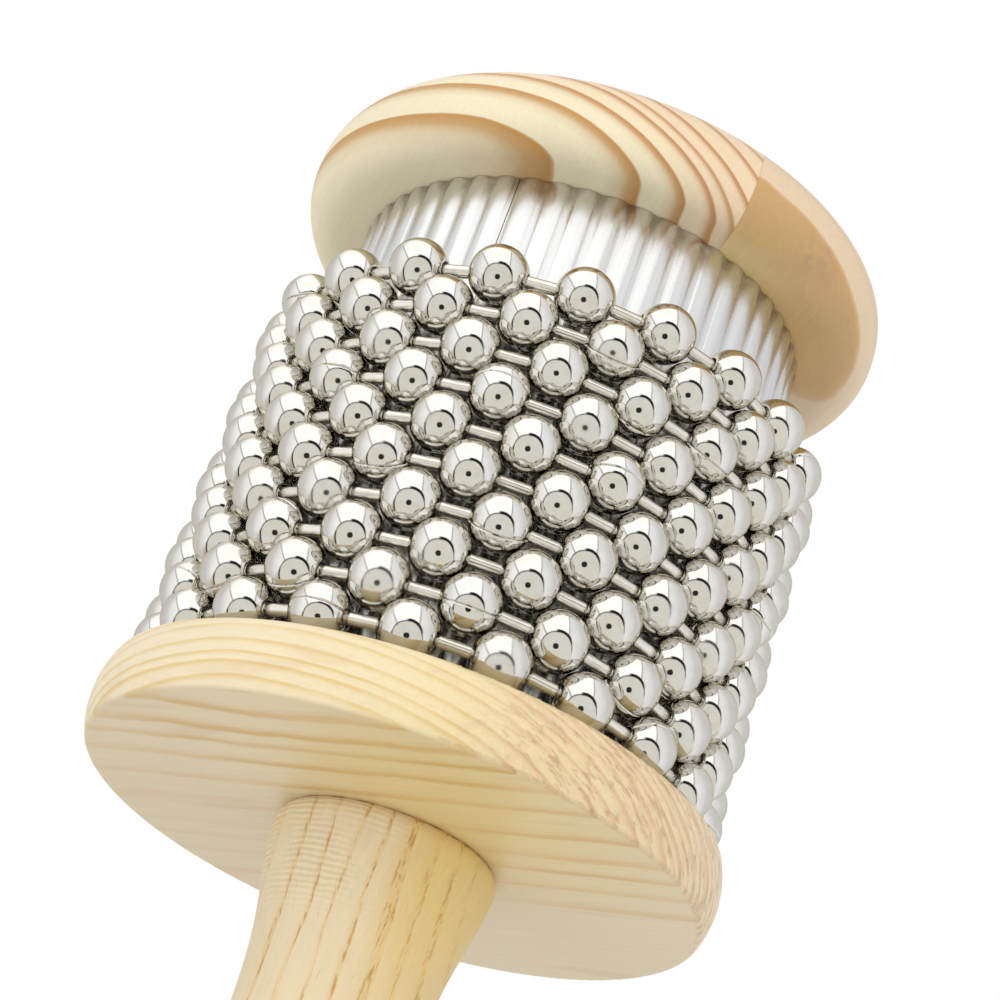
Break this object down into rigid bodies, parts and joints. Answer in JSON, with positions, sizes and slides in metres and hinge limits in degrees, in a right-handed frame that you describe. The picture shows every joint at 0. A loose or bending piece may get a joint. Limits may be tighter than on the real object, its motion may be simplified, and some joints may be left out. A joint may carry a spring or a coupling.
{
  "type": "cabasa",
  "caption": "Hand percussion shaker: loose loops of steel ball chain turn and slide on a fluted metal drum between round wooden discs, on a turned wooden handle.",
  "frame": {"origin": "centre of the handle's flat end, on which the part stands", "axes": "+Z along the turned axis from the handle's end to the free disc; the picture is taken from -Y and below"},
  "size_m": [0.095, 0.095, 0.2036],
  "materials": {
    "ash_wood": "sanded, thin clear lacquer",
    "pale_pine": "sanded, thin clear lacquer",
    "knotty_pine": "sanded, thin clear lacquer",
    "core_wood": "turned, unfinished",
    "peg_wood": "turned, unfinished",
    "fluted_metal": "satin rolled sheet",
    "plated_ball": "bright nickel plate",
    "plated_link": "bright nickel plate",
    "screw_steel": "zinc plated"
  },
  "bodies": {
    "drum": {"handle": "ash_wood", "lower_disc": "pale_pine", "upper_disc": "knotty_pine", "drum_core": "core_wood", "corrugated_sleeve": "fluted_metal", "end_screw": "screw_steel", "lower_dowels": "peg_wood", "upper_dowels": "peg_wood"},
    "loop_01": {"chain_balls_01": "plated_ball", "chain_links_01": "plated_link"},
    "loop_02": {"chain_balls_02": "plated_ball", "chain_links_02": "plated_link"},
    "loop_03": {"chain_balls_03": "plated_ball", "chain_links_03": "plated_link"},
    "loop_04": {"chain_balls_04": "plated_ball", "chain_links_04": "plated_link"},
    "loop_05": {"chain_balls_05": "plated_ball", "chain_links_05": "plated_link"},
    "loop_06": {"chain_balls_06": "plated_ball", "chain_links_06": "plated_link"},
    "loop_07": {"chain_balls_07": "plated_ball", "chain_links_07": "plated_link"},
    "loop_08": {"chain_balls_08": "plated_ball", "chain_links_08": "plated_link"},
    "loop_09": {"chain_balls_09": "plated_ball", "chain_links_09": "plated_link"},
    "loop_10": {"chain_balls_10": "plated_ball", "chain_links_10": "plated_link"}
  },
  "joints": [
    {"name": "chain_turn", "type": "hinge", "parent": "drum", "child": "loop_01", "pos_m": [0, 0, 0.107], "axis": [0, 0, 1], "continuous": true},
    {"name": "loop_02_slide", "type": "slide", "parent": "loop_01", "child": "loop_02", "axis": [0, 0, 1], "range_m": [0, 0.00182]},
    {"name": "loop_03_slide", "type": "slide", "parent": "loop_02", "child": "loop_03", "axis": [0, 0, 1], "range_m": [0, 0.00182]},
    {"name": "loop_04_slide", "type": "slide", "parent": "loop_03", "child": "loop_04", "axis": [0, 0, 1], "range_m": [0, 0.00182]},
    {"name": "loop_05_slide", "type": "slide", "parent": "loop_04", "child": "loop_05", "axis": [0, 0, 1], "range_m": [0, 0.00182]},
    {"name": "loop_06_slide", "type": "slide", "parent": "loop_05", "child": "loop_06", "axis": [0, 0, 1], "range_m": [0, 0.00182]},
    {"name": "loop_07_slide", "type": "slide", "parent": "loop_06", "child": "loop_07", "axis": [0, 0, 1], "range_m": [0, 0.00182]},
    {"name": "loop_08_slide", "type": "slide", "parent": "loop_07", "child": "loop_08", "axis": [0, 0, 1], "range_m": [0, 0.00182]},
    {"name": "loop_09_slide", "type": "slide", "parent": "loop_08", "child": "loop_09", "axis": [0, 0, 1], "range_m": [0, 0.00182]},
    {"name": "loop_10_slide", "type": "slide", "parent": "loop_09", "child": "loop_10", "axis": [0, 0, 1], "range_m": [0, 0.00182]}
  ]
}
